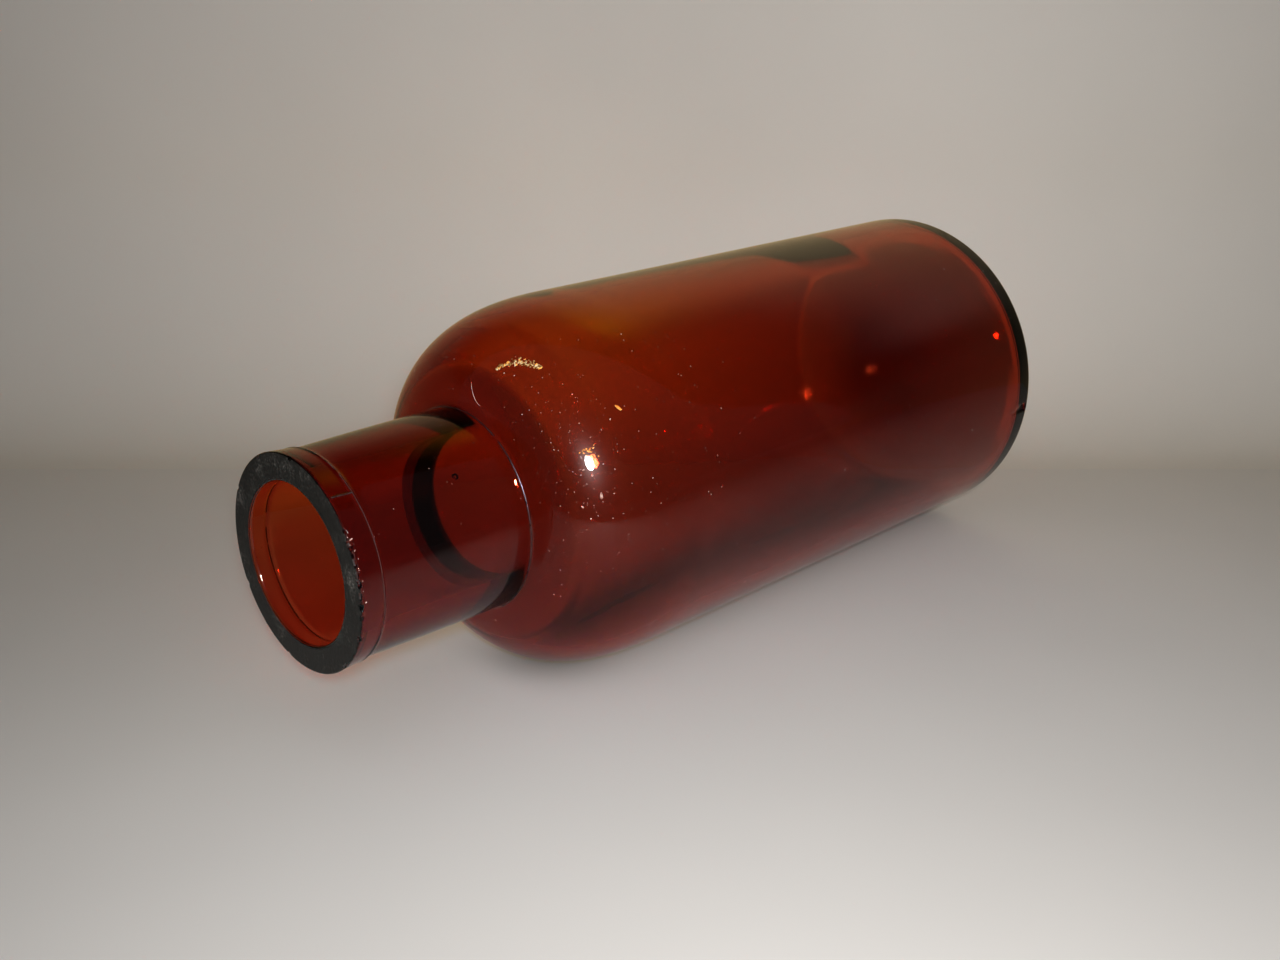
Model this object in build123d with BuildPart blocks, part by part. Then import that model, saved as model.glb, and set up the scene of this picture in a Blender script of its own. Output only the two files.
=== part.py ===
from build123d import *
import math
import os

# Wide-necked amber glass bottle, 200 ml class, lying on its side.
#
# X runs along the bottle's axis from the mouth to the base, Z is up, and the
# origin is the centre of the ground mouth face. The bottle rests on its side
# wall, in the plane z = -body_r. All lengths are in millimetres.
#
# The glass is split at the parting line just below the mouth: finish_band is
# the ring around the mouth, bottle_body is everything else. Each is a profile
# of (x, radius) points revolved about X.

# --- overall ---
body_r = 27.5            # outer radius of the straight body
total_len = 133.0        # ground mouth face to standing ring

# --- finish band ---
bore_r = 10.95           # straight bore of the mouth and neck
lip_r = 14.80            # outer radius near the ground face
band_r = 14.52           # outer radius near the band's lower edge
band_len = 3.63          # ground face to parting line
mouth_edge_r = 0.45      # rounded inner edge of the mouth
lip_bevel = 0.22         # bevelled outer edge of the lip
band_bevel = 0.16        # bevelled lower edge of the band

# --- neck ---
neck_r_top = 14.30       # outer radius just below the band
neck_r_mid = 14.50       # outer radius halfway down
neck_r_low = 14.60       # outer radius where it enters the shoulder
neck_end_x = 27.1        # nominal end of the neck
bore_end_x = 28.0        # end of the straight bore
flare_r = 2.6            # arc that turns the bore into the shoulder's inside
flare_deg = 74           # angle that this arc turns through

# --- shoulder: quarter of a superellipse, outside ---
shoulder_x0 = neck_end_x # mouth-side end of the curve
shoulder_x1 = 49.45      # where it runs into the straight body
shoulder_r0 = 10.83      # radius of its mouth-side end, inside the neck
shoulder_exponent = 2.68 # 2 would be a plain ellipse
junction_r = 0.55        # fillet in the corner between neck and shoulder
shoulder_steps = 13      # equal steps in angle from neck to body
inner_first_step = 3     # the inside skips the steps next to the flare
inner_wall_lag = 0.6     # the inside turns straight this far past shoulder_x1

# --- glass thickness ---
wall_body = 2.2          # side wall
wall_shoulder = 2.9      # shoulder, next to the neck

# --- base ---
heel_r = 1.3             # outer heel radius
ring_r_in = 20.5         # inner radius of the standing ring
push_up = 2.0            # height of the hollow under the base
hollow_mid_rise = 0.76 * push_up     # height of the hollow partway in
hollow_mid_r = 0.52 * ring_r_in      # radius where it has that height
hollow_start_dir = (-0.45, -1)       # direction leaving the standing ring
base_centre_t = 5.6      # the base is thickest in the middle
base_heel_t = 1.7        # thickness at the inside heel
inner_heel_r = 1.4       # inside radius between side wall and base
dome_near_drop = 1.1     # fall of the inside dome from its centre ...
dome_near_r = 8.0        # ... at this radius
dome_far_rise = 1.5      # height of the dome above the inside heel ...
dome_far_r = 17.0        # ... at this radius

# --- derived places ---
inner_r = body_r - wall_body
hollow_x = total_len - push_up       # centre of the hollow
dome_x = hollow_x - base_centre_t    # centre of the inside dome
floor_x = total_len - base_heel_t    # inside of the base at the heel


def shoulder_point(theta):
    """Point (x, r) on the outside of the shoulder, theta from 0 to pi/2."""
    power = 2 / shoulder_exponent
    x = shoulder_x1 - (shoulder_x1 - shoulder_x0) * math.cos(theta) ** power
    r = shoulder_r0 + (body_r - shoulder_r0) * math.sin(theta) ** power
    return x, r


def shoulder_tangent(theta):
    """Unit vector (x, r) along the shoulder at theta, towards the body."""
    step = 1e-4
    x_before, r_before = shoulder_point(theta - step)
    x_after, r_after = shoulder_point(theta + step)
    dx, dr = x_after - x_before, r_after - r_before
    length = math.hypot(dx, dr)
    return dx / length, dr / length


# Angle at which the shoulder curve crosses the neck's radius.
theta_neck = math.asin(
    ((neck_r_low - shoulder_r0) / (body_r - shoulder_r0)) ** (shoulder_exponent / 2)
)


def shoulder_angle(fraction):
    """Curve angle at a fraction of the way from the neck to the body."""
    return theta_neck + (math.pi / 2 - theta_neck) * fraction


def inner_shoulder_point(fraction):
    """The outside moved in by a wall that thins steadily towards the body."""
    theta = shoulder_angle(fraction)
    x, r = shoulder_point(theta)
    along_x, along_r = shoulder_tangent(theta)
    wall = wall_shoulder + (wall_body - wall_shoulder) * fraction
    return x + wall * along_r, r - wall * along_x


def make_bottle_body():
    """Neck below the band, shoulder, side wall and base, as one glass."""
    junction = shoulder_point(theta_neck)
    outer_shoulder = [
        shoulder_point(shoulder_angle(i / shoulder_steps)) for i in range(1, shoulder_steps)
    ]
    # listed from the body back to the neck, the way the outline runs
    inner_shoulder = [
        inner_shoulder_point(i / shoulder_steps)
        for i in range(shoulder_steps - 1, inner_first_step - 1, -1)
    ]
    inner_wall_start = (shoulder_x1 + inner_wall_lag, inner_r)
    inner_heel_start = (floor_x, inner_r - inner_heel_r)
    flare_angle = math.radians(flare_deg)
    flare_end = (
        bore_end_x + flare_r * math.sin(flare_angle),
        bore_r + flare_r * (1 - math.cos(flare_angle)),
    )

    with BuildPart() as body:
        with BuildSketch(Plane.XZ) as profile:
            with BuildLine():
                # parting face against the finish band
                Line((band_len, bore_r), (band_len, neck_r_top))
                # outside of the neck, very slightly swollen
                ThreePointArc(
                    (band_len, neck_r_top),
                    ((band_len + neck_end_x) / 2, neck_r_mid),
                    junction,
                )
                # outside of the shoulder
                Spline(
                    [junction] + outer_shoulder + [(shoulder_x1, body_r)],
                    tangents=[shoulder_tangent(theta_neck), (1, 0)],
                )
                # side wall, heel and standing ring
                Line((shoulder_x1, body_r), (total_len - heel_r, body_r))
                JernArc((total_len - heel_r, body_r), (1, 0), heel_r, -90)
                Line((total_len, body_r - heel_r), (total_len, ring_r_in))
                # hollow under the base
                Spline(
                    [
                        (total_len, ring_r_in),
                        (total_len - hollow_mid_rise, hollow_mid_r),
                        (hollow_x, 0),
                    ],
                    tangents=[hollow_start_dir, (0, -1)],
                )
                # through the glass on the axis
                Line((hollow_x, 0), (dome_x, 0))
                # inside of the base, domed in the middle, and the inside heel
                Spline(
                    [
                        (dome_x, 0),
                        (dome_x + dome_near_drop, dome_near_r),
                        (floor_x - dome_far_rise, dome_far_r),
                        inner_heel_start,
                    ],
                    tangents=[(0, 1), (0, 1)],
                )
                JernArc(inner_heel_start, (0, 1), inner_heel_r, 90)
                # inside of the side wall
                Line((floor_x - inner_heel_r, inner_r), inner_wall_start)
                # inside of the shoulder, flare and bore
                Spline(
                    [inner_wall_start] + inner_shoulder + [flare_end],
                    tangents=[(-1, 0), (-math.cos(flare_angle), -math.sin(flare_angle))],
                )
                JernArc((bore_end_x, bore_r), (1, 0), flare_r, flare_deg)
                Line((bore_end_x, bore_r), (band_len, bore_r))
            make_face()
            # the vertex nearest the junction; sketch Y is the radius
            corner = profile.vertices().sort_by(
                lambda v: (v.X - junction[0]) ** 2 + (v.Y - junction[1]) ** 2
            )[0]
            fillet(corner, radius=junction_r)
        revolve(axis=Axis.X)
    body.part.label = "bottle_body"
    return body.part


def make_finish_band():
    """Ground-faced ring of glass around the mouth."""
    with BuildPart() as band:
        with BuildSketch(Plane.XZ):
            with BuildLine():
                Polyline(
                    # ground mouth face
                    (0, bore_r + mouth_edge_r),
                    (0, lip_r - lip_bevel),
                    # bevelled lip, then the tapering outside
                    (lip_bevel, lip_r),
                    (band_len - band_bevel, band_r),
                    # bevelled lower edge, then the parting face
                    (band_len, band_r - band_bevel),
                    (band_len, bore_r),
                    # bore
                    (mouth_edge_r, bore_r),
                )
                # rounded inner edge of the mouth
                RadiusArc((mouth_edge_r, bore_r), (0, bore_r + mouth_edge_r), mouth_edge_r)
            make_face()
        revolve(axis=Axis.X)
    band.part.label = "finish_band"
    return band.part


os.makedirs("parts", exist_ok=True)
for piece in (make_bottle_body(), make_finish_band()):
    export_step(piece, f"parts/{piece.label}.step")
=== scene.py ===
"""An empty amber glass bottle lying on its side on a pale floor with a sweep behind it.

The bottle's axis is X: the ground mouth face is at x = 0 and the standing ring at the +X
end. Angles round the axis run from +Y towards +Z. The glass is worked out in millimetres
and made in metres; floor, lights and camera are in metres.
"""
import math
import random
from contextlib import contextmanager

import bmesh
import bpy
import numpy as np
from mathutils import Matrix, Vector, noise
from mathutils.bvhtree import BVHTree


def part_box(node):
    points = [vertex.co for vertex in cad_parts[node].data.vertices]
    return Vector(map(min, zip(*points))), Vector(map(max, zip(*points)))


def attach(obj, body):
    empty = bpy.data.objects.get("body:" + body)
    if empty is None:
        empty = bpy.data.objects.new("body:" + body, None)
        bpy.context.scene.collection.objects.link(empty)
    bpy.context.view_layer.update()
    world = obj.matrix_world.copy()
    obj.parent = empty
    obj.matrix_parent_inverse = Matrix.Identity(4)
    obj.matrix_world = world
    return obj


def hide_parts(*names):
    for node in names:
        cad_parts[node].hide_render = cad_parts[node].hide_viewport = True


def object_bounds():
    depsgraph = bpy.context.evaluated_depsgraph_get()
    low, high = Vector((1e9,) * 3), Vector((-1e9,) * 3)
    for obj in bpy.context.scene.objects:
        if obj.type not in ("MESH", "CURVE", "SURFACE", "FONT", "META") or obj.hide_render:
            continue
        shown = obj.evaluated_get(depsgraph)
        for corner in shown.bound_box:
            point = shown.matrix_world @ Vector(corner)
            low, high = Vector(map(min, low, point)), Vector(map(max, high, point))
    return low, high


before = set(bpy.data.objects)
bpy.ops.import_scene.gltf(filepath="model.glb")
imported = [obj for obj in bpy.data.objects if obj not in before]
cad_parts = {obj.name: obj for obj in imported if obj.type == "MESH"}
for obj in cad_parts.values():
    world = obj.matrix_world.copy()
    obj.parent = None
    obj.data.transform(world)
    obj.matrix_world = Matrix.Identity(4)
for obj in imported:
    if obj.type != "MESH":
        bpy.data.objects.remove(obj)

cad_lo, cad_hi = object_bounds()
body_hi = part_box("bottle_body")[1]
band_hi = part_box("finish_band")[1]

MM = 0.001
scene = bpy.context.scene
scene.view_settings.view_transform = "Standard"
scene.view_settings.look = "None"
scene.view_settings.gamma = 0.75   # deep shadows, clear whites

# ---------------------------------------------------------------------------
# Bottle sizes, in millimetres
# ---------------------------------------------------------------------------
BODY_R = body_hi.z / MM
BODY_L = body_hi.x / MM            # mouth face to standing ring
BAND_L = band_hi.x / MM            # mouth face to the band's lower edge
LIP_R = band_hi.z / MM             # lip radius at the mouth face
MOUTH_EDGE = 0.45                  # rounding between bore and mouth face
BORE_R = 10.95
BORE_END = 28.0
FLARE_R = 2.6                      # rounding where the bore opens into the body
FLARE_ANGLE = math.radians(74)
NECK_R = (14.30, 14.50, 14.60)     # outer radius: top, middle, bottom of the neck
NECK_START = BAND_L + 0.70
NECK_END = 26.55
ROOT_LINE = (26.97, 27.07)         # x range of the line at the neck's root

# The shoulder is a quarter superellipse.
SHOULDER_X0, SHOULDER_X1 = 27.1, 49.45
SHOULDER_R0, SHOULDER_POWER = 10.83, 2.68
WALL, SHOULDER_WALL = 2.2, 2.9     # glass thickness at the side and at the neck's root
INNER_R = BODY_R - WALL

HEEL_R = 1.3                       # outer rounding of the heel
RING_INNER_R = 20.5                # inner edge of the standing ring
PUSH_UP = 2.0                      # hollow under the base
BASE_WALL, HEEL_WALL, INNER_HEEL_R = 5.6, 1.7, 1.4

# ---------------------------------------------------------------------------
# Flaws in the glass: millimetres and degrees
# ---------------------------------------------------------------------------
SEAM = 128.5                       # one seam of the band; the other is opposite
CHIPS = [  # angle, radius of the scoop, how far its centre stands out of the lip's edge
    (152.5, 1.10, 0.62), (157.5, 0.62, 0.36), (162.0, 0.80, 0.48), (167.5, 0.55, 0.30),
    (172.0, 0.90, 0.55), (178.5, 0.60, 0.36), (184.0, 0.85, 0.52), (190.0, 0.50, 0.28),
    (203.0, 0.60, 0.36), (146.0, 0.45, 0.26), (228.0, 0.55, 0.32), (118.0, 0.45, 0.28),
    (94.0, 0.55, 0.34), (62.0, 0.5, 0.3), (28.0, 0.6, 0.36), (332.0, 0.7, 0.42),
    (285.0, 0.5, 0.3),
]
HEEL_CHIP_X, HEEL_CHIP_ANGLE = 131.0, -175.2
HEEL_CHIP_R, HEEL_CHIP_OUT = 1.35, 0.62
SEED_X, SEED_ANGLE, SEED_R = 18.7, 135.1, 12.9     # centre of the bubble in the neck
SEED_HALF = (0.50, 0.26, 0.42)                     # its half sizes: along, radial, around
BLISTERS = [  # centre, normal, half width, half length
    ((132.03, -19.05, 8.75), (-0.900, -0.385, 0.202), 0.52, 0.74),
    ((26.94, -11.32, 6.82), (-0.377, -0.812, 0.446), 0.30, 0.66),
]
BLISTER_RINGS, BLISTER_SIDES = 6, 28

GROUND, OUTSIDE, INSIDE = range(3)                 # zones of the profile
AMBER, GROUND_LIP, WORN_LINE, ROOT_WORN = range(4)  # material slots of the glass


# ---------------------------------------------------------------------------
# Curve helpers; a line or an arc leaves out its first point
# ---------------------------------------------------------------------------
def smooth_curve(points, count):
    """Catmull-Rom through 2D points, resampled to count evenly spaced ones."""
    ctrl = [np.array(point, float) for point in points]
    ctrl = [2 * ctrl[0] - ctrl[1]] + ctrl + [2 * ctrl[-1] - ctrl[-2]]
    fine = []
    for i in range(1, len(ctrl) - 2):
        before, start, end, after = ctrl[i - 1:i + 3]
        for k in range(12):
            t = k / 12
            fine.append(0.5 * (2 * start + (end - before) * t
                               + (2 * before - 5 * start + 4 * end - after) * t * t
                               + (3 * start - before - 3 * end + after) * t ** 3))
    fine.append(ctrl[-2])
    fine = np.array(fine)
    length = np.concatenate([[0], np.cumsum(np.hypot(*np.diff(fine, axis=0).T))])
    even = np.linspace(0, length[-1], count)
    return list(zip(np.interp(even, length, fine[:, 0]), np.interp(even, length, fine[:, 1])))


def line(start, end, count):
    return [(start[0] + (end[0] - start[0]) * i / count,
             start[1] + (end[1] - start[1]) * i / count) for i in range(1, count + 1)]


def arc(centre, radius, first, last, count):
    """Arc between two angles in degrees."""
    turns = [math.radians(first + (last - first) * i / count) for i in range(1, count + 1)]
    return [(centre[0] + radius * math.cos(t), centre[1] + radius * math.sin(t)) for t in turns]


def polar(x, radius, angle):
    """The point at x, a radius from the axis, and an angle in radians."""
    return x, radius * math.cos(angle), radius * math.sin(angle)


def clamp01(value):
    return min(1.0, max(0.0, value))


def wrap(angle):
    return (angle + math.pi) % (2 * math.pi) - math.pi


def wave(x, y, z, size, seed):
    return noise.noise(Vector((x / size + seed, y / size - seed * 0.7, z / size + seed * 1.3)))


# ---------------------------------------------------------------------------
# Profile of the glass, a closed loop of (x, radius, zone)
# ---------------------------------------------------------------------------
def shoulder(t):
    x = SHOULDER_X1 - (SHOULDER_X1 - SHOULDER_X0) * math.cos(t) ** (2 / SHOULDER_POWER)
    r = SHOULDER_R0 + (BODY_R - SHOULDER_R0) * math.sin(t) ** (2 / SHOULDER_POWER)
    return x, r


def shoulder_inside(t, wall):
    """The point of the inner wall under the shoulder's point t."""
    step = 1e-4
    xa, ra = shoulder(max(t - step, 1e-5))
    xb, rb = shoulder(min(t + step, math.pi / 2 - 1e-5))
    length = math.hypot(xb - xa, rb - ra)
    x, r = shoulder(t)
    return x + wall * (rb - ra) / length, r - wall * (xb - xa) / length


def flare(t):
    return BORE_END + FLARE_R * math.sin(t), BORE_R + FLARE_R * (1 - math.cos(t))


def lip_and_neck():
    """Outside of the lip, the band and the neck."""
    points = [(0.03, LIP_R - 0.12), (0.09, LIP_R - 0.05), (0.20, LIP_R - 0.004)]
    points += line((0.20, LIP_R - 0.004), (BAND_L - 0.60, 14.545), 12)
    # the fine raised line at the band's lower edge, and the soft step down to the neck
    points += [(BAND_L + offset, r) for offset, r in (
        (-0.45, 14.550), (-0.30, 14.575), (-0.20, 14.600), (-0.13, 14.605), (-0.06, 14.580),
        (0.02, 14.520), (0.12, 14.440), (0.26, 14.360), (0.42, 14.315), (0.62, 14.303))]
    top, middle, bottom = NECK_R
    for i in range(1, 31):
        u = i / 30
        r = top * (1 - u) * (1 - 2 * u) + 4 * middle * u * (1 - u) + bottom * u * (2 * u - 1)
        points.append((NECK_START + (NECK_END - NECK_START) * u, r))
    return points


def make_profile():
    profile = []

    def add(points, zone):
        profile.extend((float(x), float(r), zone) for x, r in points)

    t_neck = math.asin(((NECK_R[2] - SHOULDER_R0) / (BODY_R - SHOULDER_R0))
                       ** (SHOULDER_POWER / 2))
    t_start = t_neck + math.radians(3.2)       # where the fillet meets the shoulder

    add([(MOUTH_EDGE, BORE_R)], INSIDE)
    add(arc((MOUTH_EDGE, BORE_R + MOUTH_EDGE), MOUTH_EDGE, 270, 180, 6), INSIDE)
    add(line((0.0, BORE_R + MOUTH_EDGE), (0.0, LIP_R - 0.22), 14), GROUND)

    neck = lip_and_neck()
    add(neck, OUTSIDE)
    fillet = [neck[-1], (26.95, 14.66), (27.17, 14.86), shoulder(t_start)]
    add(smooth_curve(fillet, 10)[1:], OUTSIDE)
    for i in range(1, 45):
        t = t_start + (math.pi / 2 - t_start) * (i / 44) ** 0.92
        add([shoulder(min(t, math.pi / 2 - 1e-6))], OUTSIDE)
    add(line((SHOULDER_X1, BODY_R), (BODY_L - HEEL_R, BODY_R), 46), OUTSIDE)
    add(arc((BODY_L - HEEL_R, BODY_R - HEEL_R), HEEL_R, 90, 0, 10), OUTSIDE)
    add(line((BODY_L, BODY_R - HEEL_R), (BODY_L, RING_INNER_R + 0.3), 8), OUTSIDE)
    hollow = [
        (BODY_L, RING_INNER_R + 0.3), (BODY_L - 0.16, RING_INNER_R - 1.0),
        (BODY_L - 0.80, RING_INNER_R * 0.80), (BODY_L - 0.76 * PUSH_UP, RING_INNER_R * 0.52),
        (BODY_L - PUSH_UP + 0.08, RING_INNER_R * 0.22), (BODY_L - PUSH_UP, 0.0)]
    add(smooth_curve(hollow, 30)[1:], OUTSIDE)

    # inside, from the middle of the base back to the mouth
    base_x = BODY_L - PUSH_UP - BASE_WALL
    heel_x = BODY_L - HEEL_WALL
    inner_heel_x = heel_x - INNER_HEEL_R
    base = [(base_x, 0.0), (base_x + 0.29, 4.0), (base_x + 1.1, 8.0), (heel_x - 2.95, 12.6),
            (heel_x - 1.5, 17.0), (heel_x - 0.30, 21.2), (heel_x, INNER_R - INNER_HEEL_R)]
    add(smooth_curve(base, 44), INSIDE)
    add(arc((inner_heel_x, INNER_R - INNER_HEEL_R), INNER_HEEL_R, 0, 90, 14), INSIDE)
    side_end = (SHOULDER_X1 + 0.6, INNER_R)
    add(line((inner_heel_x, INNER_R), side_end, 46), INSIDE)
    under_shoulder = []
    for i in range(12, 2, -1):
        u = i / 13
        wall = SHOULDER_WALL + (WALL - SHOULDER_WALL) * u
        under_shoulder.append(shoulder_inside(t_neck + (math.pi / 2 - t_neck) * u, wall))
    add(smooth_curve([side_end] + under_shoulder + [flare(FLARE_ANGLE)], 44)[1:], INSIDE)
    add([flare(t) for t in np.linspace(FLARE_ANGLE, 0, 13)[1:]], INSIDE)
    add(line((BORE_END, BORE_R), (MOUTH_EDGE, BORE_R), 36)[:-1], INSIDE)
    return profile


def make_angles():
    """Angles of the mesh's meridians in radians, closer together at seams and chips."""
    angles = set(np.round(np.linspace(0, 360, 385)[:-1], 4))
    for offset in np.arange(-1.6, 1.61, 0.2):
        angles.add(round(SEAM + offset, 4))
        angles.add(round((SEAM + 180 + offset) % 360, 4))
    for angle in np.arange(143.5, 206.0, 0.33):
        angles.add(round(float(angle), 4))
    angles = np.array(sorted(angles))
    keep = [0]
    for i in range(1, len(angles)):
        if angles[i] - angles[keep[-1]] > 0.12:
            keep.append(i)
    return np.radians(angles[keep])


PROFILE = make_profile()
ANGLES = make_angles()


# ---------------------------------------------------------------------------
# The glass: one closed mesh revolved about X
# ---------------------------------------------------------------------------
def inside_shift(x, r, angle):
    """Slow waves of the inner surface, as shifts along x and along the radius."""
    _, y, z = polar(x, r, angle)
    body = clamp01((x - 24.0) / 12.0) * clamp01((BODY_L + 1.0 - x) / 16.0)
    height = 0.05 + 0.13 * body
    dr = height * wave(x * 0.6, y, z, 22.0, 3.1) + 0.06 * height * wave(x * 0.6, y, z, 8.0, 8.7)
    dr += 0.0008 * body * wave(x * 0.5, y, z, 2.4, 5.5)
    # the wall is thinner along the side around 97 degrees
    thin = (math.degrees(angle) - 97.0) / 44.0
    dr += (0.66 * math.exp(-thin * thin)
           * clamp01((x - 29.0) / 9.0) * clamp01((107.0 - x) / 17.0))
    dx = 0.0
    if x < 1.0:
        dr *= 0.2
    if r < INNER_R - 2:
        dx = 0.22 * wave(x, y, z, 11.0, 9.2) * (1 if x > 100 else 0.3)
        dr *= 0.4
    return dx, dr


def outside_shift(x, r, angle):
    """Slight waves of the outer surface, and the two seams across the band."""
    if x < BAND_L + 0.05:
        seams = [wrap(angle - math.radians(seam)) for seam in (SEAM, SEAM + 180)]
        return 0.0, sum(0.07 * math.exp(-((away * r) / 0.16) ** 2) for away in seams)
    if x <= BAND_L + 0.65:
        return 0.0, 0.0
    point = polar(x, r, angle)
    if x > BODY_L - HEEL_R - 0.1 and r < BODY_R - HEEL_R + 0.1:
        return (0.0 if r > RING_INNER_R else 0.12 * wave(*point, 8.0, 2.4)), 0.0
    return 0.0, 0.035 * wave(*point, 21.0, 1.7)


def revolve():
    """Vertices in mm, and for each profile point the row of its vertex numbers."""
    verts, rows = [], []
    for x, r, zone in PROFILE:
        if r < 1e-6:
            rows.append([len(verts)])
            verts.append((x, 0.0, 0.0))
            continue
        rows.append(range(len(verts), len(verts) + len(ANGLES)))
        for angle in ANGLES:
            dx = dr = 0.0
            if zone == INSIDE:
                dx, dr = inside_shift(x, r, angle)
            elif zone == OUTSIDE:
                dx, dr = outside_shift(x, r, angle)
            verts.append(polar(x + dx, r + dr, angle))
    return np.array(verts), rows


def scoop(point, centre, radius, inward):
    """Slide a point inside the scoop to its wall; tell whether it moved."""
    offset = point - centre
    if np.linalg.norm(offset) >= radius:
        return False
    along = offset @ inward
    point += inward * (-along + math.sqrt(along * along - (offset @ offset - radius * radius)))
    return True


def cut_chips(verts):
    """Take the chips out of the lip and the heel; returns the lip's moved vertices."""
    radii = np.hypot(verts[:, 1], verts[:, 2])
    near_lip = np.where((verts[:, 0] < 3.2) & (radii > 12.6))[0]
    near_heel = np.where((verts[:, 0] > BODY_L - 4.5) & (radii > BODY_R - 1.9))[0]
    chipped = set()
    for degrees, radius, out in CHIPS:
        angle = math.radians(degrees)
        centre = np.array(polar(-out * 0.72, LIP_R + out * 0.62, angle))
        inward = np.array(polar(0.70, -0.71, angle))
        for k in near_lip:
            rough = 1 + 0.22 * noise.noise(Vector(verts[k] * 1.9 + degrees))
            if scoop(verts[k], centre, radius * rough, inward):
                chipped.add(int(k))
    angle = math.radians(HEEL_CHIP_ANGLE)
    centre = np.array(polar(HEEL_CHIP_X, BODY_R + HEEL_CHIP_OUT, angle))
    inward = np.array(polar(-0.25, -0.968, angle))
    for k in near_heel:
        rough = 1 + 0.25 * noise.noise(Vector(verts[k] * 1.3))
        scoop(verts[k], centre, HEEL_CHIP_R * rough, inward)
    return chipped


def face_slot(zones, x, angle, is_chipped):
    """Material slot of a face from its zones and the place of its middle."""
    if GROUND in zones:
        if not is_chipped:
            return GROUND_LIP
        return WORN_LINE if noise.noise(Vector(polar(x * 2.1, 11.0, angle))) > 0.05 else AMBER
    if zones != (OUTSIDE, OUTSIDE):
        return AMBER
    if 0.1 < x < BAND_L - 0.2:
        away = math.degrees(wrap(angle - math.radians(SEAM)))
        if abs(away) < 0.31 and noise.noise(Vector((x * 1.3, 4.2, 0.7))) > -0.35:
            return WORN_LINE
    on_root = ROOT_LINE[0] < x < ROOT_LINE[1]
    if on_root or BAND_L - 0.22 < x < BAND_L - 0.08:
        if noise.noise(Vector(polar(x * 0.2, 9.0, angle))) > -0.45:
            return ROOT_WORN if on_root else WORN_LINE
    return AMBER


def glass_faces(rows, chipped):
    faces, slots = [], []
    for i, row in enumerate(rows):
        following = (i + 1) % len(rows)
        after = rows[following]
        if len(row) == 1 and len(after) == 1:
            continue                       # the axis, through the base
        zones = (PROFILE[i][2], PROFILE[following][2])
        x = (PROFILE[i][0] + PROFILE[following][0]) / 2
        for k in range(len(ANGLES)):
            k2 = (k + 1) % len(ANGLES)
            if len(row) == 1:
                face = (row[0], after[k2], after[k])
            elif len(after) == 1:
                face = (row[k], row[k2], after[0])
            else:
                face = (row[k], row[k2], after[k2], after[k])
            angle = ANGLES[k] + (ANGLES[k2] - ANGLES[k]) % (2 * math.pi) / 2
            faces.append(face)
            slots.append(face_slot(zones, x, angle, bool(chipped.intersection(face))))
    return faces, slots


@contextmanager
def editing(mesh):
    bm = bmesh.new()
    bm.from_mesh(mesh)
    yield bm
    bm.to_mesh(mesh)
    bm.free()


def face_inward(bm, faces):
    """Turn a closed void's faces to look into it."""
    bmesh.ops.recalc_face_normals(bm, faces=faces)
    bmesh.ops.reverse_faces(bm, faces=faces)


def add_seed(bm):
    """One small bubble shut inside the neck's glass."""
    glass_part = set(bm.faces)
    angle = math.radians(SEED_ANGLE)
    ball = bmesh.ops.create_icosphere(bm, subdivisions=3, radius=1.0)
    for vert in ball["verts"]:
        along, out, around = (c * half for c, half in zip(vert.co, SEED_HALF))
        r = SEED_R + out
        vert.co = Vector((SEED_X + along,
                          r * math.cos(angle) - around * math.sin(angle),
                          r * math.sin(angle) + around * math.cos(angle))) * MM
    face_inward(bm, [face for face in bm.faces if face not in glass_part])


def add_blister(bm, centre, normal, half_width, half_length):
    """A flat bubble: two shallow domes that share their rim."""
    centre = Vector(centre)
    normal = Vector(normal).normalized()
    long_way = normal.cross(Vector((1, 0, 0))).normalized()
    short_way = normal.cross(long_way)
    domes = []
    for sign in (1, -1):
        rings = []
        for i in range(BLISTER_RINGS + 1):
            if i == BLISTER_RINGS and sign == -1:
                rings.append(domes[0][i])
                continue
            ring = []
            for k in range(BLISTER_SIDES if i else 1):
                q = i / BLISTER_RINGS
                t = 2 * math.pi * k / BLISTER_SIDES
                wobble = 1 + 0.16 * noise.noise(
                    Vector((math.cos(t) * 1.3, math.sin(t) * 1.3, centre.x)))
                point = (centre + long_way * (half_length * q * wobble * math.cos(t))
                         + short_way * (half_width * q * wobble * math.sin(t)))
                point += normal * (sign * 0.016 * (1 - q ** 4)
                                   + 0.009 * noise.noise(point * 1.3))
                ring.append(bm.verts.new(point * MM))
            rings.append(ring)
        domes.append(rings)
    faces = []
    for sign, rings in zip((1, -1), domes):
        for k in range(BLISTER_SIDES):
            k2 = (k + 1) % BLISTER_SIDES
            outlines = [(rings[0][0], rings[1][k], rings[1][k2])]
            outlines += [(rings[i][k], rings[i + 1][k], rings[i + 1][k2], rings[i][k2])
                         for i in range(1, BLISTER_RINGS)]
            faces += [bm.faces.new(outline[::sign]) for outline in outlines]
    face_inward(bm, faces)


def mesh_object(name, verts, faces, smooth=False):
    mesh = bpy.data.meshes.new(name)
    mesh.from_pydata([tuple(vert) for vert in verts], [], faces)
    mesh.update()
    if smooth:
        for face in mesh.polygons:
            face.use_smooth = True
    ob = bpy.data.objects.new(name, mesh)
    scene.collection.objects.link(ob)
    return ob


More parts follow.
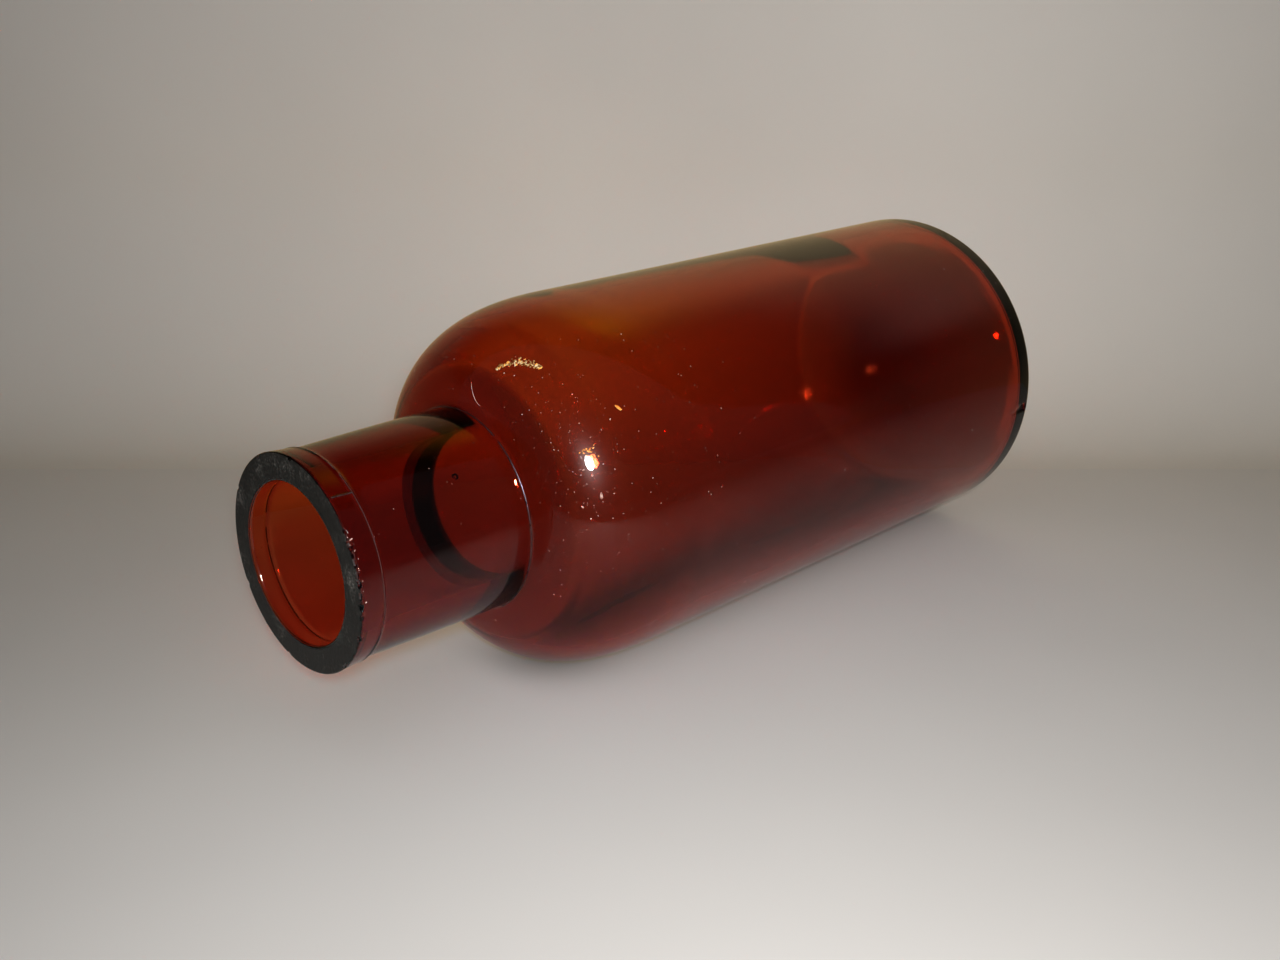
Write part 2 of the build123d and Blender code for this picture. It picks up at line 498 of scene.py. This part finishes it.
def build_glass():
    verts, rows = revolve()
    chipped = cut_chips(verts)
    faces, slots = glass_faces(rows, chipped)
    ob = mesh_object("bottle_glass", verts * MM, faces)
    mesh = ob.data
    mesh.polygons.foreach_set("material_index", slots)
    mesh.update()
    with editing(mesh) as bm:
        bmesh.ops.recalc_face_normals(bm, faces=bm.faces)
        if bm.calc_volume(signed=True) < 0:
            bmesh.ops.reverse_faces(bm, faces=bm.faces)
    with editing(mesh) as bm:
        add_seed(bm)
    for blister in BLISTERS:
        with editing(mesh) as bm:
            add_blister(bm, *blister)
    for face in mesh.polygons:
        face.use_smooth = True
    return ob


glass = build_glass()


# ---------------------------------------------------------------------------
# Shader helpers
# ---------------------------------------------------------------------------
def node(tree, kind, inputs=None, **settings):
    """A shader node; an input is given a value, or a socket to link from."""
    made = tree.nodes.new("ShaderNode" + kind)
    for name, value in settings.items():
        setattr(made, name, value)
    for socket, value in (inputs or {}).items():
        if isinstance(value, bpy.types.NodeSocket):
            tree.links.new(value, made.inputs[socket])
        else:
            made.inputs[socket].default_value = value
    return made


def new_material(name):
    """A material with its node tree, its output and its object coordinates."""
    material = bpy.data.materials.new(name)
    material.use_nodes = True
    tree = material.node_tree
    tree.nodes.clear()
    output = node(tree, "OutputMaterial")
    return material, tree, output, node(tree, "TexCoord").outputs["Object"]


def principled(tree, inputs):
    return node(tree, "BsdfPrincipled", inputs).outputs[0]


def noise_texture(tree, coords, scale, detail=3.0, roughness=0.5):
    return node(tree, "TexNoise", {"Scale": scale, "Detail": detail, "Roughness": roughness,
                                   "Vector": coords}).outputs["Fac"]


def ramp(tree, factor, stops):
    """Colour ramp from (position, colour) stops; a single number is a grey."""
    made = node(tree, "ValToRGB", {"Fac": factor})
    elements = made.color_ramp.elements
    while len(elements) < len(stops):
        elements.new(0.5)
    for element, (position, colour) in zip(elements, stops):
        element.position = position
        element.color = (*(colour if isinstance(colour, tuple) else (colour,) * 3), 1)
    return made.outputs["Color"]


def calc(tree, operation, a, b=0):
    return node(tree, "Math", {0: a, 1: b}, operation=operation).outputs[0]


def vector_calc(tree, operation, a, b):
    return node(tree, "VectorMath", {0: a, 1: b}, operation=operation).outputs[0]


def dot(tree, a, b):
    return node(tree, "VectorMath", {0: a, 1: b}, operation="DOT_PRODUCT").outputs["Value"]


def scaled(tree, vector, factor):
    return node(tree, "VectorMath", {0: vector, "Scale": factor}, operation="SCALE").outputs[0]


def fade_out(tree, squared):
    """exp(-squared): 1 in the middle, falling softly to 0."""
    return calc(tree, "EXPONENT", calc(tree, "MULTIPLY", squared, -1.0))


def smoothstep(tree, value, start, end, first=0.0, last=1.0):
    return node(tree, "MapRange", {"From Min": start, "From Max": end, "To Min": first,
                                   "To Max": last, "Value": value},
                interpolation_type="SMOOTHSTEP").outputs[0]


def mix_vectors(tree, factor, a, b):
    return node(tree, "Mix", {0: factor, 4: a, 5: b}, data_type="VECTOR").outputs[1]


def bump(tree, height, distance):
    return node(tree, "Bump", {"Distance": distance, "Strength": 1.0,
                               "Height": height}).outputs["Normal"]


# ---------------------------------------------------------------------------
# Materials of the glass and of what lies on it
# ---------------------------------------------------------------------------
def finish_glass(tree, output, shader):
    """Wire up the surface and the amber absorption inside the glass."""
    tree.links.new(shader, output.inputs["Surface"])
    amber = node(tree, "VolumeAbsorption", {"Color": (0.825, 0.27, 0.0, 1.0), "Density": 800.0})
    tree.links.new(amber.outputs[0], output.inputs["Volume"])


def amber_glass():
    material, tree, output, coords = new_material("amber_glass")
    # faint dry film of dust and handling, in patches
    film = noise_texture(tree, coords, scale=55.0, detail=5.0, roughness=0.6)
    grain = noise_texture(tree, coords, scale=900.0, roughness=0.6)
    mixed = calc(tree, "ADD", film, calc(tree, "MULTIPLY", grain, 0.30))
    # mould skin: a slow ripple and a fine orange peel
    ripple = noise_texture(tree, coords, scale=160.0, detail=2.0)
    peel = noise_texture(tree, coords, scale=620.0, detail=2.0)
    height = calc(tree, "ADD", ripple, calc(tree, "MULTIPLY", peel, 0.16))
    shader = principled(tree, {
        "Transmission Weight": 1.0,
        "IOR": 1.52,
        "Base Color": (0.97, 0.88, 0.80, 1),
        # the film scatters a little of the reflected light
        "Coat Weight": 0.18,
        "Coat Roughness": 0.33,
        "Roughness": ramp(tree, mixed, [(0.50, 0.0), (0.66, 0.018), (0.82, 0.055)]),
        "Normal": bump(tree, height, distance=0.000007),
    })
    finish_glass(tree, output, shader)
    return material


def ground_lip():
    material, tree, output, coords = new_material("ground_lip")
    grit = noise_texture(tree, coords, scale=2600.0, detail=4.0, roughness=0.7)
    patch = noise_texture(tree, coords, scale=260.0, roughness=0.6)
    both = calc(tree, "MULTIPLY", grit, patch)
    shader = principled(tree, {
        "Transmission Weight": 0.22,
        "IOR": 1.5,
        "Base Color": ramp(tree, both, [
            (0.16, (0.006, 0.006, 0.005)), (0.28, (0.020, 0.019, 0.017)),
            (0.36, (0.058, 0.056, 0.050)), (0.46, (0.22, 0.20, 0.19))]),
        "Roughness": ramp(tree, patch, [(0.35, 0.30), (0.65, 0.58)]),
        "Normal": bump(tree, both, distance=0.00010),
    })
    finish_glass(tree, output, shader)
    return material


def worn_line(name, transmission):
    """The raised lines of the mould joints: rubbed, and with dust lying in them."""
    material, tree, output, coords = new_material(name)
    wear = noise_texture(tree, coords, scale=700.0, roughness=0.6)
    shader = principled(tree, {
        "Transmission Weight": transmission,
        "IOR": 1.52,
        "Specular IOR Level": 0.25,
        "Base Color": ramp(tree, wear, [(0.40, (0.55, 0.32, 0.30)), (0.62, (0.86, 0.68, 0.66))]),
        "Roughness": ramp(tree, wear, [(0.35, 0.25), (0.65, 0.50)]),
    })
    finish_glass(tree, output, shader)
    return material


def dry(name, stops, scale, roughness, bump_distance=0.00002):
    """An opaque, dry, mottled material."""
    material, tree, output, coords = new_material(name)
    mottle = noise_texture(tree, coords, scale, detail=4.0, roughness=0.65)
    shader = principled(tree, {
        "Base Color": ramp(tree, mottle, stops),
        "Roughness": ramp(tree, mottle, [(0.3, roughness * 0.7),
                                         (0.7, min(1.0, roughness * 1.3))]),
        "Normal": bump(tree, mottle, bump_distance),
    })
    tree.links.new(shader, output.inputs["Surface"])
    return material


# in the order of the slot numbers above
glass.data.materials.append(amber_glass())
glass.data.materials.append(ground_lip())
glass.data.materials.append(worn_line("worn_line", transmission=0.955))
glass.data.materials.append(worn_line("root_line", transmission=0.985))
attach(glass, "root")
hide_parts("bottle_body", "finish_band")

# ---------------------------------------------------------------------------
# What lies on the glass: flakes of dried residue, dust and lint
# ---------------------------------------------------------------------------
tree_of_glass = BVHTree.FromPolygons([vert.co.copy() for vert in glass.data.vertices],
                                     [tuple(face.vertices) for face in glass.data.polygons])


def on_glass(x, degrees):
    """Point and normal on the outside of the glass; x in mm."""
    out = Vector(polar(0.0, 1.0, math.radians(degrees)))
    return tree_of_glass.ray_cast(Vector((x * MM, 0, 0)) + out * 0.04, -out)[:2]


def add_litter(name, verts, faces, material, smooth=False):
    ob = mesh_object(name, verts, faces, smooth)
    ob.data.materials.append(material)
    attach(ob, "root")


def flakes(name, items, material, seed):
    """Small closed chips from (x, degrees, half size in mm, aspect)."""
    rng = random.Random(seed)
    verts, faces = [], []
    sides = 6
    for x, degrees, size, aspect in items:
        place, normal = on_glass(x, degrees)
        if place is None:
            continue
        size *= MM
        long_way = normal.orthogonal().normalized()
        long_way = Matrix.Rotation(rng.uniform(0, 6.283), 3, normal) @ long_way
        short_way = normal.cross(long_way)
        base = len(verts)
        for i in range(sides):
            t = 2 * math.pi * i / sides
            r = size * rng.uniform(0.72, 1.25)
            verts.append(place + long_way * (r * math.cos(t) * aspect)
                         + short_way * (r * math.sin(t))
                         + normal * (size * rng.uniform(0.05, 0.25)))
        verts.append(place + normal * (size * rng.uniform(0.45, 0.8)))
        verts.append(place - normal * (size * 0.25))
        for i in range(sides):
            j = (i + 1) % sides
            faces.append((base + i, base + j, base + sides))
            faces.append((base + j, base + i, base + sides + 1))
    add_litter(name, verts, faces, material)


def hair(name, path, half, material):
    """A fine fibre, round in section, along (x, degrees) points."""
    spots = [on_glass(x, degrees) for x, degrees in smooth_curve(path, 60)]
    last = len(spots) - 1
    sides = 6
    verts, faces = [], []
    for i, (place, normal) in enumerate(spots):
        along = spots[min(i + 1, last)][0] - spots[max(i - 1, 0)][0]
        side = normal.cross(along.normalized()).normalized()
        taper = min(1.0, 0.25 + 6.0 * min(i, last - i) / len(spots))
        for k in range(sides):
            t = 2 * math.pi * k / sides
            verts.append(place + normal * (half * MM * (0.7 + taper * math.sin(t)))
                         + side * (half * MM * taper * math.cos(t)))
    for i in range(last):
        for k in range(sides):
            k2 = (k + 1) % sides
            faces.append((i * sides + k, i * sides + k2,
                          (i + 1) * sides + k2, (i + 1) * sides + k))
    faces.append(tuple(range(sides))[::-1])
    faces.append(tuple(last * sides + k for k in range(sides)))
    add_litter(name, verts, faces, material, smooth=True)


def residue(name, path, width, material):
    """A crinkled crust along (x, degrees) points, narrow at both ends."""
    spine = smooth_curve(path, 44)
    last = len(spine) - 1
    across_count = 9
    top, bottom = [], []
    for i, (x, degrees) in enumerate(spine):
        u = i / last
        place, normal = on_glass(x, degrees)
        before = on_glass(*spine[max(i - 1, 0)])[0]
        after = on_glass(*spine[min(i + 1, last)])[0]
        across = normal.cross((after - before).normalized())
        here = (width * MM * (0.22 + 0.78 * math.sin(math.pi * u) ** 0.7)
                * (1 + 0.35 * noise.noise(Vector((u * 9, 3.3, 0)))))
        for k in range(across_count):
            s = k / (across_count - 1) * 2 - 1
            ragged = 1 + 0.18 * noise.noise(Vector((u * 14, s * 2, 7)))
            point = place + across * (here * 0.5 * s * ragged)
            foot, out = on_glass(point.x / MM, math.degrees(math.atan2(point.z, point.y)))
            crest = (0.10 + 0.30 * abs(noise.noise(Vector((u * 22, s * 2.2, 1.5))))
                     + 0.16 * abs(noise.noise(Vector((u * 47, s * 4.0, 5.5)))))
            edge = 0.35 if k in (0, across_count - 1) or i in (0, last) else 1.0
            top.append(foot + out * (crest * edge * MM))
            bottom.append(foot - out * (0.05 * MM))
    under = len(top)
    faces = []
    for i in range(last):
        for k in range(across_count - 1):
            a = i * across_count + k
            face = (a, a + 1, a + across_count + 1, a + across_count)
            faces.append(face)
            faces.append(tuple(under + corner for corner in face[::-1]))
    rim = list(range(across_count))
    rim += [i * across_count + across_count - 1 for i in range(1, last + 1)]
    rim += [last * across_count + k for k in range(across_count - 2, -1, -1)]
    rim += [i * across_count for i in range(last - 1, 0, -1)]
    for a, b in zip(rim, rim[1:] + rim[:1]):
        faces.append((b, a, under + a, under + b))
    add_litter(name, top + bottom, faces, material)


cream = dry("dried_residue", [(0.38, (0.10, 0.035, 0.012)), (0.46, (0.32, 0.17, 0.06)),
                              (0.56, (0.58, 0.44, 0.24)), (0.68, (0.80, 0.72, 0.55))],
            scale=2100.0, roughness=0.35, bump_distance=0.00006)
gold = dry("gold_specks", [(0.35, (0.75, 0.30, 0.05)), (0.60, (1.0, 0.62, 0.22))],
           scale=3000.0, roughness=0.35)
dust = dry("dust", [(0.35, (0.22, 0.11, 0.09)), (0.50, (0.46, 0.32, 0.28)),
                    (0.66, (0.90, 0.82, 0.78))], scale=900.0, roughness=0.8)
lint = dry("lint", [(0.35, (0.60, 0.46, 0.42)), (0.65, (0.85, 0.78, 0.74))],
           scale=1500.0, roughness=0.8)


def crescent_shards():
    """Flakes scattered along a crescent on the shoulder, fewest at its tips."""
    crescent = smooth_curve([(29.9, 103.6), (30.9, 106.4), (31.8, 109.6), (32.4, 113.2),
                             (32.75, 116.8)], 60)
    rng = random.Random(17)
    shards = []
    for _ in range(96):
        u = rng.random()
        x, degrees = crescent[int(u * 59)]
        spread = 0.56 * math.sin(math.pi * u) ** 0.6 + 0.05
        shards.append((x + rng.uniform(-spread, spread) * 0.75,
                       degrees + rng.uniform(-spread, spread) * 1.5,
                       rng.uniform(0.07, 0.20), rng.uniform(1.2, 2.4)))
    return shards


shards = crescent_shards()
flakes("residue_flake", shards[:80], cream, seed=3)
flakes("residue_flake_gold", shards[80:], gold, seed=4)
residue("residue_fleck", [(37.6, 138.9), (37.9, 140.0), (38.1, 141.0)], 0.34, gold)
# pale flakes on the chipped lip edge: crushed-glass burrs whose pale colour also paints the
# glints of the chipped edge
flakes("lip_burrs_and_painted_glints", [
    (0.42, 150.6, 0.11, 2.6), (0.30, 153.0, 0.07, 1.8), (0.50, 156.0, 0.08, 2.2),
    (0.62, 160.2, 0.06, 1.4), (0.34, 165.5, 0.07, 2.0), (0.55, 171.0, 0.08, 1.6),
    (0.40, 176.0, 0.06, 1.8), (0.70, 182.0, 0.08, 1.9), (0.45, 188.4, 0.06, 1.5),
    (0.38, 147.0, 0.05, 2.0)], dust, seed=12)
flakes("residue_white", [(32.3, 163.4, 0.20, 2.4), (30.3, 165.8, 0.15, 1.6),
                         (31.9, 156.4, 0.12, 1.2)], dust, seed=5)
dust_rng = random.Random(41)
# dust specks by the small key light's highlight, painted gold so that they also stand in for the
# golden sparkles of that light
flakes("gold_dust_and_painted_sparkle", [(dust_rng.gauss(32.3, 0.55), dust_rng.gauss(149.2, 1.3),
                      dust_rng.uniform(0.05, 0.13), 1.2) for _ in range(18)], gold, seed=6)


def speck(x, degrees, least, extra, power, longest):
    """One dust flake: half size from least up by extra, aspect up to longest."""
    return (x, degrees, least + extra * dust_rng.random() ** power,
            dust_rng.uniform(1.0, longest))


def all_round():
    return dust_rng.uniform(0, 360)


specks = [speck(27.6 + 26.0 * dust_rng.random() ** 1.25, all_round(), 0.032, 0.052, 2.4, 1.8)
          for _ in range(680)]      # shoulder
specks += [speck(dust_rng.gauss(31.5, 2.4), dust_rng.gauss(150, 15), 0.030, 0.045, 2, 1.8)
           for _ in range(150)]     # the thick of the dust, on one side of the shoulder
specks += [speck(dust_rng.uniform(50, BODY_L - 2), all_round(), 0.034, 0.06, 2.6, 1.9)
           for _ in range(560)]     # side wall
specks += [speck(dust_rng.uniform(0.6, 26.5), all_round(), 0.030, 0.05, 2, 1.6)
           for _ in range(90)]      # neck and band
# the fillet at the neck's root stays clear
specks = [item for item in specks if 27.45 < item[0] or item[0] < 26.6]
flakes("dust_specks", specks, dust, seed=9)
hair("lint_hair", [(28.25, 94.6), (27.9, 96.8), (27.64, 100.4), (27.55, 104.6)], 0.028, lint)

# ---------------------------------------------------------------------------
# Stage, in metres. The floor runs flat under the bottle and a plain sweep turns up
# behind it. The sweep is seen and lit only from its front.
# ---------------------------------------------------------------------------
VIEW = Vector((0.70546, 0.70875, 0.0))      # level direction the camera looks in
SIDE = Vector((0.70875, -0.70546, 0.0))     # level, to the camera's right
CAM_PLACE = Vector((-80.938, -143.637, 71.638)) * MM
CAM_RIGHT = Vector((0.7087485, -0.7054612, 0.0))
CAM_UP = Vector((0.2496276, 0.2507908, 0.9353021))
CAM_BACK = Vector((-0.6598194, -0.6628940, 0.3538502))

FLOOR_Z = cad_lo.z
FLOOR_HALF = 6.0
CAM_DEPTH = CAM_PLACE.dot(VIEW)             # depths are measured along VIEW
SWEEP_START = CAM_DEPTH + 0.268
SWEEP_R = 0.055
SWEEP_BOTTOM = FLOOR_Z + 0.0002
SWEEP_HEIGHT = 0.60
SWEEP_HALF_WIDTH = 1.4


def build_sweep():
    turns = [math.pi / 2 * i / 24 for i in range(25)]
    points = [(SWEEP_START + SWEEP_R * math.sin(t), SWEEP_BOTTOM + SWEEP_R * (1 - math.cos(t)))
              for t in turns]
    points.append((SWEEP_START + SWEEP_R, FLOOR_Z + SWEEP_HEIGHT))
    verts = []
    for depth, z in points:
        for across in (-SWEEP_HALF_WIDTH, SWEEP_HALF_WIDTH):
            level = VIEW * depth + SIDE * across
            verts.append((level.x, level.y, z))
    faces = [(2 * i, 2 * i + 1, 2 * i + 3, 2 * i + 2) for i in range(len(points) - 1)]
    return mesh_object("sweep", verts, faces, smooth=True)


def painted_glow_behind_shoulder(tree, coords, colour):
    """Painted light: seen through the glass only, a soft spot behind the shoulder is painted in
    a brighter, richer colour that stands in for light.
    """
    parts = []
    for axis, middle, width in ((SIDE, 0.008, 0.046), (VIEW, CAM_DEPTH + 0.300, 0.070),
                                (Vector((0, 0, 1)), -0.008, 0.040)):
        offset = calc(tree, "SUBTRACT", dot(tree, coords, axis), middle)
        ratio = calc(tree, "DIVIDE", offset, width)
        parts.append(calc(tree, "MULTIPLY", ratio, ratio))
    total = calc(tree, "ADD", calc(tree, "ADD", parts[0], parts[1]), parts[2])
    ray = node(tree, "LightPath")
    seen = calc(tree, "MULTIPLY", fade_out(tree, total), ray.outputs["Is Transmission Ray"])
    # painted light: the spot's colour is raised, most in green, only for rays through the glass
    painted_glow = mix_vectors(tree, seen, (1.0, 1.0, 1.0), (1.35, 2.6, 1.2))
    return vector_calc(tree, "MULTIPLY", colour, painted_glow)


def paper_colour(tree, coords, colour):
    cloud = noise_texture(tree, coords, scale=9.0)
    return ramp(tree, cloud, [(0.3, tuple(c * 0.96 for c in colour)),
                              (0.7, tuple(c * 1.03 for c in colour))])


def paper_shader(tree, coords, colour):
    # the paper's colour carries the painted glow seen through the glass behind the shoulder
    return principled(tree, {"Base Color": painted_glow_behind_shoulder(tree, coords, colour),
                             "Roughness": 0.9, "Specular IOR Level": 0.1})


def floor_paper():
    material, tree, output, coords = new_material("floor_pale")
    colour = paper_colour(tree, coords, (0.70, 0.69, 0.68))
    # painted shadow: a narrow dark line of painted contact shade where the bottle touches the
    # floor, fading out at both ends
    place = node(tree, "SeparateXYZ", {0: coords}).outputs
    away = calc(tree, "ABSOLUTE", calc(tree, "DIVIDE", place["Y"], 0.0085))
    contact_shade_width = fade_out(tree, calc(tree, "POWER", away, 2.0))
    ends = [smoothstep(tree, place["X"], start, end)
            for start, end in ((0.028, 0.046), (0.140, 0.129))]
    painted_contact_shadow = calc(tree, "MULTIPLY", contact_shade_width, calc(tree, "MULTIPLY", *ends))
    unshadowed_share = calc(tree, "SUBTRACT", 1.0, calc(tree, "MULTIPLY", painted_contact_shadow, 0.85))
    shader = paper_shader(tree, coords, scaled(tree, colour, unshadowed_share))
    tree.links.new(shader, output.inputs["Surface"])
    return material


def sweep_paper():
    material, tree, output, coords = new_material("sweep_pale")
    colour = paper_colour(tree, coords, (0.70, 0.68, 0.65))
    # to all but camera rays, the sweep has painted shade that makes it dimmer higher up, and a
    # painted warm tint
    height = node(tree, "SeparateXYZ", {0: coords}).outputs["Z"]
    light = smoothstep(tree, height, FLOOR_Z + 0.095, FLOOR_Z + 0.24, first=1.0, last=0.16)
    seen = node(tree, "LightPath").outputs["Is Camera Ray"]
    painted_shade_colour = scaled(tree, colour, calc(tree, "MAXIMUM", light, seen))
    painted_warm_tint = mix_vectors(tree, seen, (0.96, 0.82, 0.55), (1.0, 1.0, 1.0))
    shader = paper_shader(tree, coords, vector_calc(tree, "MULTIPLY", painted_shade_colour, painted_warm_tint))
    one_sided = node(tree, "MixShader", {
        0: node(tree, "NewGeometry").outputs["Backfacing"],
        1: shader,
        2: node(tree, "BsdfTransparent").outputs[0],
    })
    tree.links.new(one_sided.outputs[0], output.inputs["Surface"])
    return material


floor = mesh_object("floor", [(sx * FLOOR_HALF, sy * FLOOR_HALF, FLOOR_Z)
                              for sx, sy in ((-1, -1), (1, -1), (1, 1), (-1, 1))],
                    [(0, 1, 2, 3)])
floor.data.materials.append(floor_paper())
backdrop = build_sweep()
backdrop.data.materials.append(sweep_paper())


def card(name, side, z, tilt, half_long, half_wide, colour):
    """A soft patch of light before the sweep, seen only as a reflection in the glass."""
    centre = VIEW * (SWEEP_START + SWEEP_R - 0.004) + SIDE * side + Vector((0, 0, z))
    tilt = math.radians(tilt)
    along = SIDE * math.cos(tilt) + Vector((0, 0, math.sin(tilt)))
    across = Vector((0, 0, math.cos(tilt))) - SIDE * math.sin(tilt)
    margin = 2.4                     # card size over patch size, so that the patch fades out
    corners = [centre + along * (sa * margin * half_long) + across * (sb * margin * half_wide)
               for sa, sb in ((-1, -1), (-1, 1), (1, 1), (1, -1))]
    ob = mesh_object(name, corners, [(0, 1, 2, 3)])

    material, tree, output, coords = new_material(name)
    offset = vector_calc(tree, "SUBTRACT", coords, centre)
    squares = []
    for axis in (along / half_long, across / half_wide):
        ratio = dot(tree, offset, axis)
        squares.append(calc(tree, "MULTIPLY", ratio, ratio))
    glow = node(tree, "Emission", {
        "Color": (*colour, 1),
        "Strength": fade_out(tree, calc(tree, "ADD", *squares)),
    })
    clear = node(tree, "BsdfTransparent")
    both = node(tree, "AddShader", {0: glow.outputs[0], 1: clear.outputs[0]})
    tree.links.new(both.outputs[0], output.inputs["Surface"])
    material.cycles.emission_sampling = "NONE"
    ob.data.materials.append(material)
    ob.visible_camera = False
    ob.visible_diffuse = False
    ob.visible_transmission = False
    ob.visible_shadow = False


card("card_neutral", side=0.300, z=0.150, tilt=12.0, half_long=0.170, half_wide=0.036,
     colour=(0.40, 0.31, 0.28))
card("card_warm", side=0.085, z=0.190, tilt=55.0, half_long=0.080, half_wide=0.036,
     colour=(0.66, 0.49, 0.0))


def add_camera():
    data = bpy.data.cameras.new("camera")
    data.sensor_width = 36.0
    data.lens = 38.381
    data.clip_start = 0.005
    camera = bpy.data.objects.new("camera", data)
    scene.collection.objects.link(camera)
    camera.matrix_world = Matrix((*zip(CAM_RIGHT, CAM_UP, CAM_BACK, CAM_PLACE), (0, 0, 0, 1)))
    scene.camera = camera


add_camera()


# ---------------------------------------------------------------------------
# Lights
# ---------------------------------------------------------------------------
def area(name, place, target, size, power, color=(1, 1, 1), glossy=True, transmission=True,
         spread=180.0):
    data = bpy.data.lights.new(name, "AREA")
    data.shape = "DISK"
    data.size = size
    data.energy = power
    data.color = color
    data.spread = math.radians(spread)
    ob = bpy.data.objects.new(name, data)
    scene.collection.objects.link(ob)
    ob.location = place
    ob.rotation_mode = "QUATERNION"
    ob.rotation_quaternion = (target - place).to_track_quat("-Z", "Y")
    ob.visible_camera = False
    ob.visible_glossy = glossy
    ob.visible_transmission = transmission
    return ob


def collect(name, *objects):
    collection = bpy.data.collections.new(name)
    for ob in objects:
        collection.objects.link(ob)
    return collection


# Colour of the amber share of the soft key, by sideways slope of the ray as the camera
# sees it (negative to one side, positive to the other).
SLOPE_LIMIT = 0.35
AMBER_SHARE = [
    (-0.30, (0.55, 0.07, 0.05)), (-0.24, (0.84, 0.14, 0.085)), (-0.20, (0.57, 0.29, 0.21)),
    (-0.14, (0.84, 0.56, 0.32)), (-0.09, (0.96, 0.88, 0.42)), (-0.02, (0.76, 0.55, 0.29)),
    (0.05, (0.53, 0.31, 0.17)), (0.10, (0.21, 0.12, 0.08)), (0.16, (0.05, 0.03, 0.02)),
    (0.30, (0.03, 0.02, 0.02)),
]
KEY_WHITE = (1.0, 0.985, 0.96)              # both shares together


def colour_key(light, is_amber):
    """Give a half of the soft key the amber share, or what it leaves of the white."""
    light.data.use_nodes = True
    tree = light.data.node_tree
    emission = next(n for n in tree.nodes if n.type == "EMISSION")
    ray = node(tree, "NewGeometry").outputs["Incoming"]
    slope = calc(tree, "DIVIDE", dot(tree, ray, CAM_RIGHT), dot(tree, ray, -CAM_BACK))
    fitted = node(tree, "MapRange", {"From Min": -SLOPE_LIMIT, "From Max": SLOPE_LIMIT,
                                     "Value": slope}).outputs[0]
    colour = ramp(tree, fitted, [((at + SLOPE_LIMIT) / (2 * SLOPE_LIMIT), share)
                                 for at, share in AMBER_SHARE])
    if not is_amber:
        colour = vector_calc(tree, "SUBTRACT", KEY_WHITE, colour)
    tree.links.new(colour, emission.inputs["Color"])


# a small hard light that only the glass receives
spark = Vector((-79.8, -155.4, 85.0)) * MM
key_small = area("key_small", spark, spark - CAM_BACK, size=0.030, power=0.150,
                 color=(1.0, 0.98, 0.98), spread=84.0)
key_small.light_linking.receiver_collection = collect("key_small_receivers", glass)

# The soft key is split in two. Only the floor and the sweep block its amber share, so the
# warm light that comes through the bottle reaches the sweep.
key_place = spark + 0.05 * CAM_BACK
key_target = key_place - CAM_BACK + 0.02 * CAM_UP + 0.07 * CAM_RIGHT
soft = {"size": 0.035, "power": 0.355, "glossy": False, "spread": 114.0}
key_soft = area("key_soft", key_place, key_target, **soft)
key_through = area("key_through", key_place, key_target, transmission=False, **soft)
colour_key(key_soft, is_amber=False)
colour_key(key_through, is_amber=True)
key_through.light_linking.blocker_collection = collect("key_through_blockers", floor, backdrop)

area("top_soft", Vector((0.02, -0.05, 0.9)), Vector((0.062, 0.0, -0.005)), size=0.7,
     power=0.10, color=(1.0, 0.99, 0.97), glossy=False)


def build_world():
    """Even light, dimmer where the glass reflects or refracts it; a plain backing."""
    world = bpy.data.worlds.new("world")
    scene.world = world
    world.use_nodes = True
    tree = world.node_tree
    tree.nodes.clear()
    ray = node(tree, "LightPath").outputs
    in_glass = calc(tree, "MAXIMUM", ray["Is Glossy Ray"], ray["Is Transmission Ray"])
    ambient = mix_vectors(tree, in_glass, (0.200, 0.198, 0.204), (0.094, 0.091, 0.095))
    lighting = node(tree, "Background", {"Color": ambient, "Strength": 1.0})
    backing = node(tree, "Background", {"Color": (0.55, 0.54, 0.52, 1), "Strength": 1.0})
    mixed = node(tree, "MixShader", {0: ray["Is Camera Ray"], 1: lighting.outputs[0],
                                     2: backing.outputs[0]})
    node(tree, "OutputWorld", {"Surface": mixed.outputs[0]})


build_world()

scene.cycles.max_bounces = 24
scene.cycles.transmission_bounces = 20
scene.cycles.glossy_bounces = 8
scene.cycles.diffuse_bounces = 3
scene.cycles.sample_clamp_indirect = 0.0
